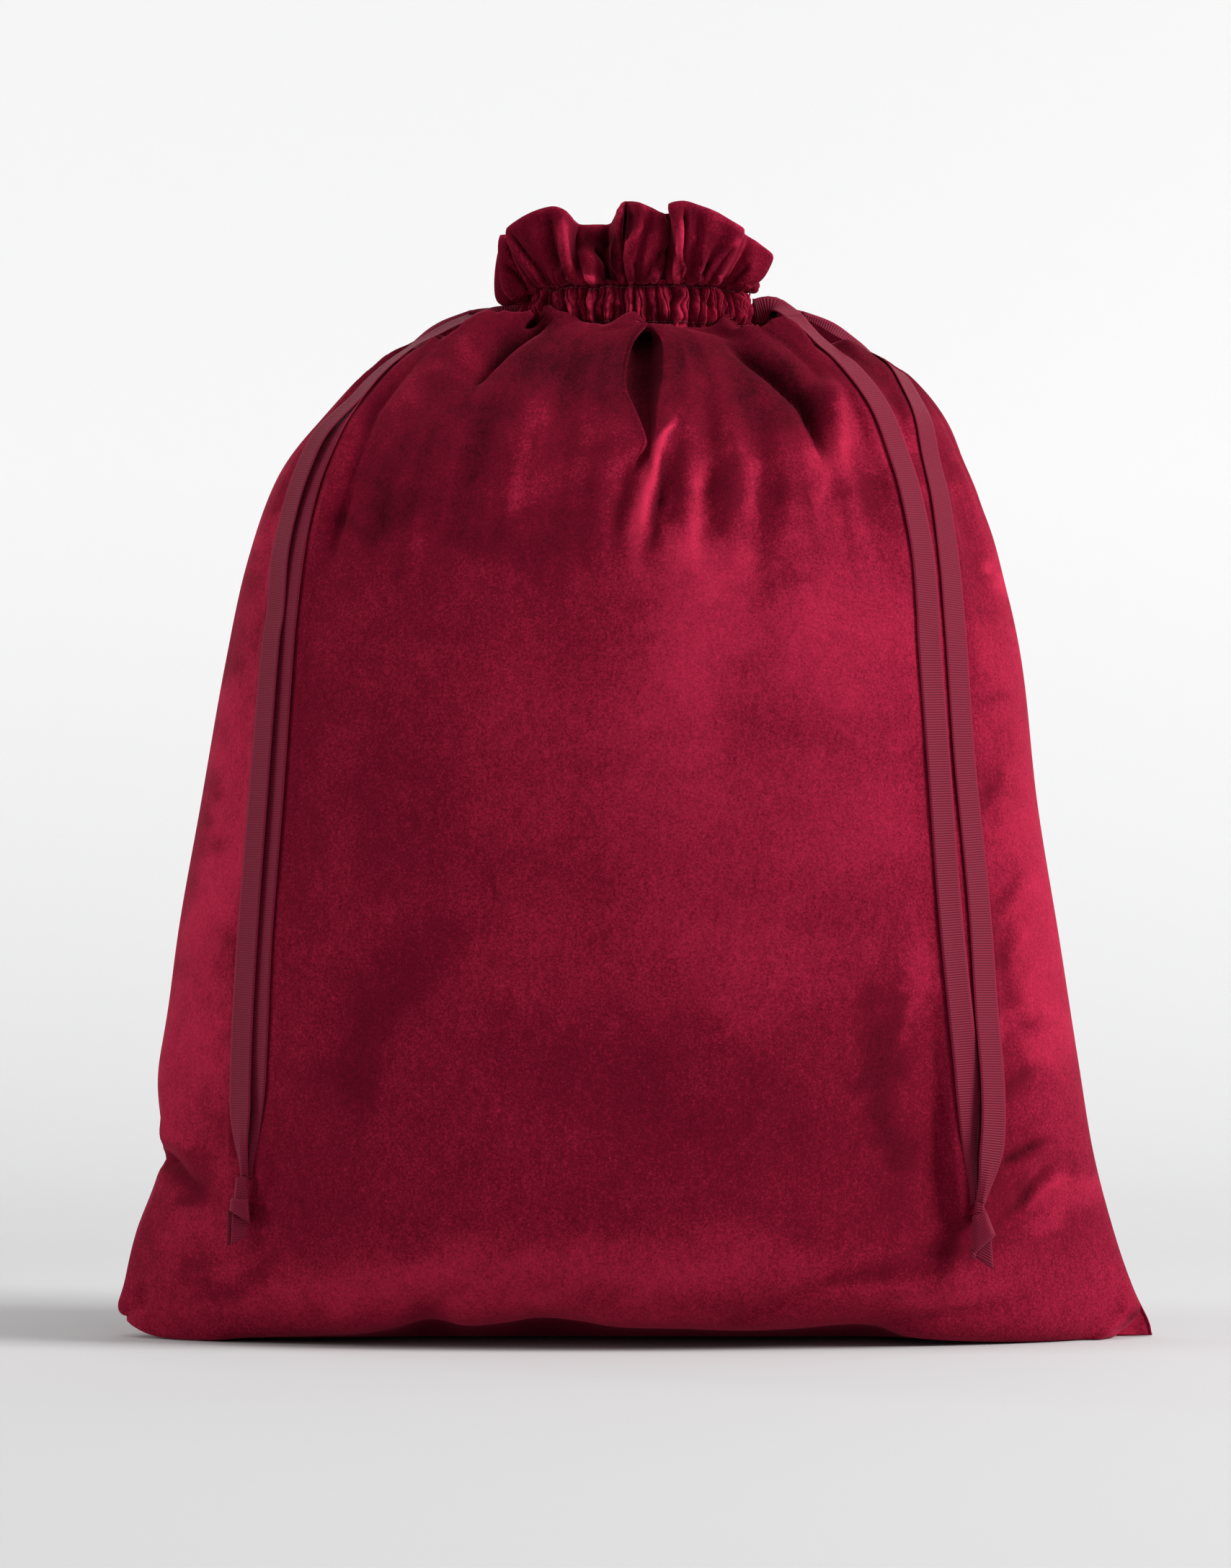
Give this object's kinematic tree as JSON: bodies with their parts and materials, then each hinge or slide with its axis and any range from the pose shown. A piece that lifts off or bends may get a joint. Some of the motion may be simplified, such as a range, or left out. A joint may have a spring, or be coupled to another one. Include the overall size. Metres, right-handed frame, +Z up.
{
  "type": "fabric gift sack",
  "caption": "Velvet drawstring gift sack, filled and standing, with a gathered casing, a frill above it and a knotted ribbon drawstring pulled out at each side.",
  "frame": {"origin": "on the floor under the middle of the sack, halfway between its side seams", "axes": "+Z up, front face towards -Y, side seams along X, +X to the viewer's right"},
  "size_m": [0.6, 0.2704, 0.655],
  "materials": {
    "velvet": "short crushed velvet pile, burgundy",
    "velvet_back": "flat knitted back of the velvet",
    "grosgrain": "ribbed grosgrain ribbon, wine red",
    "thread": "polyester sewing thread, burgundy"
  },
  "bodies": {
    "sack": {"front_panel": "velvet", "back_panel": "velvet", "front_casing": "velvet", "back_casing": "velvet", "front_facing": "velvet_back", "back_facing": "velvet_back", "front_frill": "velvet", "back_frill": "velvet", "left_side_seam": "velvet_back", "right_side_seam": "velvet_back", "bottom_seam": "velvet_back", "front_upper_stitching": "thread", "front_lower_stitching": "thread", "back_upper_stitching": "thread", "back_lower_stitching": "thread", "left_exit_upper_bartack": "thread", "left_exit_lower_bartack": "thread", "right_exit_upper_bartack": "thread", "right_exit_lower_bartack": "thread", "left_ribbon_run": "grosgrain", "right_ribbon_run": "grosgrain"},
    "left_drawstring": {"left_front_lead": "grosgrain", "left_back_lead": "grosgrain"},
    "left_tails": {"left_outer_tail": "grosgrain", "left_inner_tail": "grosgrain", "left_knot": "grosgrain", "left_front_end": "grosgrain", "left_back_end": "grosgrain"},
    "right_drawstring": {"right_front_lead": "grosgrain", "right_back_lead": "grosgrain"},
    "right_tails": {"right_inner_tail": "grosgrain", "right_outer_tail": "grosgrain", "right_knot": "grosgrain", "right_front_end": "grosgrain", "right_back_end": "grosgrain"}
  },
  "joints": [
    {"name": "left_drawstring_pull", "type": "slide", "parent": "sack", "child": "left_drawstring", "axis": [-1, 0, 0], "range_m": [0, 0.06]},
    {"name": "left_tails_lift", "type": "hinge", "parent": "left_drawstring", "child": "left_tails", "pos_m": [-0.0942, 0, 0.6], "axis": [0, 1, 0], "range_deg": [0, 75]},
    {"name": "right_drawstring_pull", "type": "slide", "parent": "sack", "child": "right_drawstring", "axis": [1, 0, 0], "range_m": [0, 0.06]},
    {"name": "right_tails_lift", "type": "hinge", "parent": "right_drawstring", "child": "right_tails", "pos_m": [0.0942, 0, 0.6], "axis": [0, -1, 0], "range_deg": [0, 75]}
  ]
}
